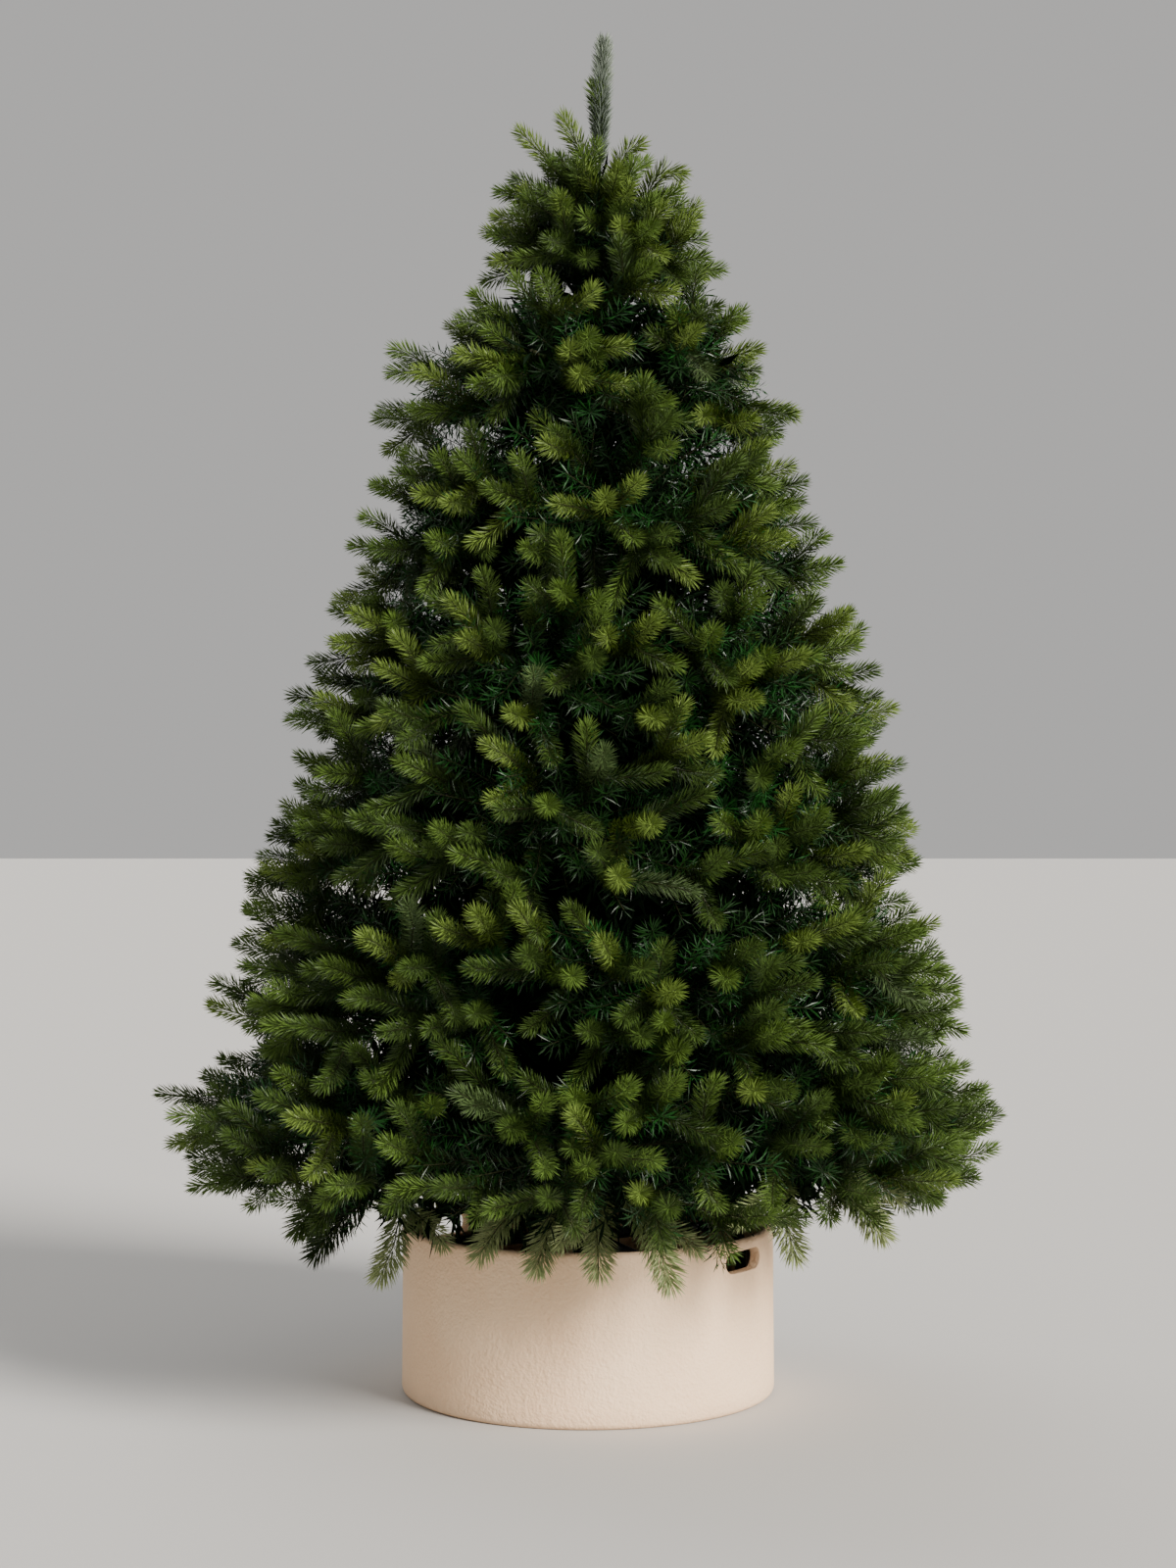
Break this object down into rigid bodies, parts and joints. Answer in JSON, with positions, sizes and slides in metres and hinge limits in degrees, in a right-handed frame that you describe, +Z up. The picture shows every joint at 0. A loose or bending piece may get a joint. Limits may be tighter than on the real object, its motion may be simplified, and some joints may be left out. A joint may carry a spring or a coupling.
{
  "type": "artificial christmas tree",
  "caption": "Dense conical artificial fir without decorations, on a steel pole and folding stand, standing in a round cream collar with hand holes.",
  "frame": {"origin": "on the floor, at the middle of the stand's flat centre foot, under the pole", "axes": "+Z up; -Y is the front of the tree; the crown leans very slightly towards +X"},
  "size_m": [1.2873, 1.2653, 2.1298],
  "materials": {
    "needles": "moulded needles, yellow-green at the tips and dark emerald inside",
    "bough_wrap": "wire wrapped in green film",
    "pole_paint": "satin green paint",
    "black_steel": "satin black paint",
    "rubber": "matt black rubber",
    "collar_cast": "matt cream cast body with a fine uneven grain"
  },
  "bodies": {
    "root": {"bough_1_1": "bough_wrap", "bough_1_2": "bough_wrap", "bough_1_3": "bough_wrap", "bough_1_4": "bough_wrap", "bough_1_5": "bough_wrap", "bough_1_6": "bough_wrap", "bough_2_1": "bough_wrap", "bough_2_2": "bough_wrap", "bough_2_3": "bough_wrap", "bough_2_4": "bough_wrap", "bough_2_5": "bough_wrap", "bough_2_6": "bough_wrap", "clamp_screw": "black_steel", "collar": "collar_cast", "foliage_1_1": "needles", "foliage_1_2": "needles", "foliage_1_3": "needles", "foliage_1_4": "needles", "foliage_1_5": "needles", "foliage_1_6": "needles", "foliage_2_1": "needles", "foliage_2_2": "needles", "foliage_2_3": "needles", "foliage_2_4": "needles", "foliage_2_5": "needles", "foliage_2_6": "needles", "foliage_3_1": "needles", "foliage_3_2": "needles", "foliage_3_3": "needles", "foliage_3_4": "needles", "foliage_3_5": "needles", "foliage_4_1": "needles", "foliage_4_2": "needles", "foliage_4_3": "needles", "foliage_4_4": "needles", "foliage_4_5": "needles", "foliage_5_1": "needles", "foliage_5_2": "needles", "foliage_5_3": "needles", "foliage_5_4": "needles", "foliage_6_1": "needles", "foliage_6_2": "needles", "foliage_6_3": "needles", "foliage_top": "needles", "pole": "pole_paint", "stand_arm_1": "black_steel", "stand_arm_2": "black_steel", "stand_arm_3": "black_steel", "stand_arm_4": "black_steel", "stand_foot_1": "rubber", "stand_foot_2": "rubber", "stand_foot_3": "rubber", "stand_foot_4": "rubber", "stand_hub": "black_steel"}
  },
  "joints": []
}
